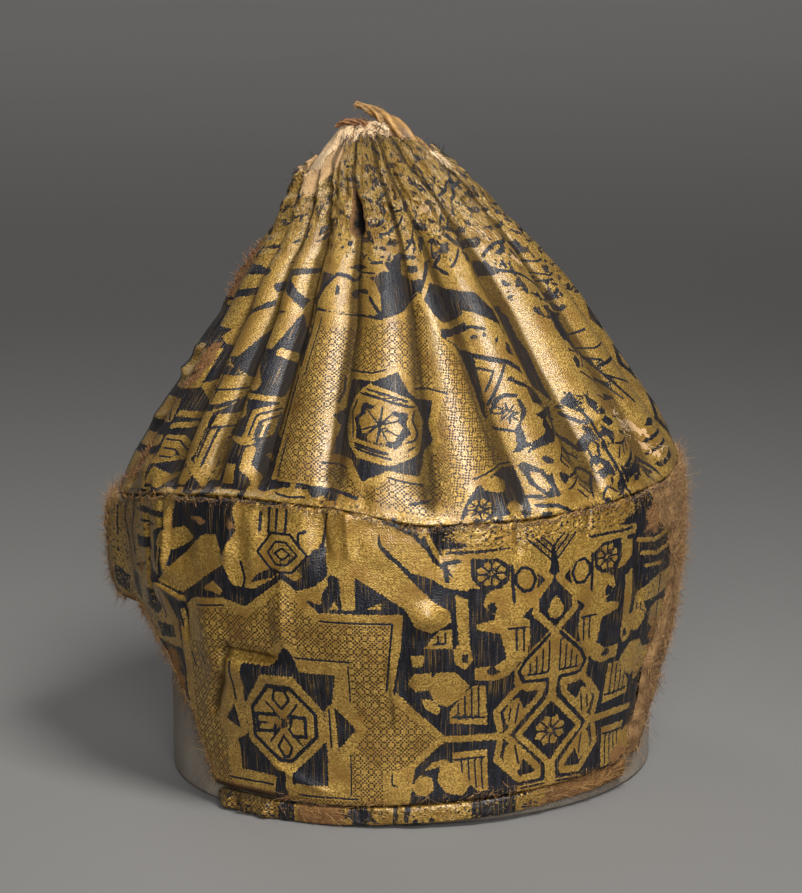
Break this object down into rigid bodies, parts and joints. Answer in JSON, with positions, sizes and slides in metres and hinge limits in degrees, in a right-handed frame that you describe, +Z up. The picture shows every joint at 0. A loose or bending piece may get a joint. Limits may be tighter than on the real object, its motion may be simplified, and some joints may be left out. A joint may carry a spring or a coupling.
{
  "type": "quilted cap on a display stand",
  "caption": "Pointed quilted cap of gold-figured silk with a pleated crown, a deep front band and worn, padded edges, held up by a plain open drum stand.",
  "frame": {"origin": "middle of the base of the whole thing's box, level with the underside of the stand", "axes": "+Z up, -Y to the front of the cap, +X to the viewer's right of the front"},
  "size_m": [0.21, 0.2014, 0.239],
  "materials": {
    "gold_silk": "figured silk with gold thread on a dark blue ground",
    "cream_lining": "matt",
    "frayed_thread": "frayed",
    "brown_wadding": "fibrous",
    "stand_cover": "matt"
  },
  "bodies": {
    "root": {"crown": "gold_silk", "tip_lining": "cream_lining", "tip_tuft": "frayed_thread", "band_front": "gold_silk", "band_back": "gold_silk", "hem": "gold_silk", "wadding_right": "brown_wadding", "wadding_left": "brown_wadding", "stand": "stand_cover"}
  },
  "joints": []
}
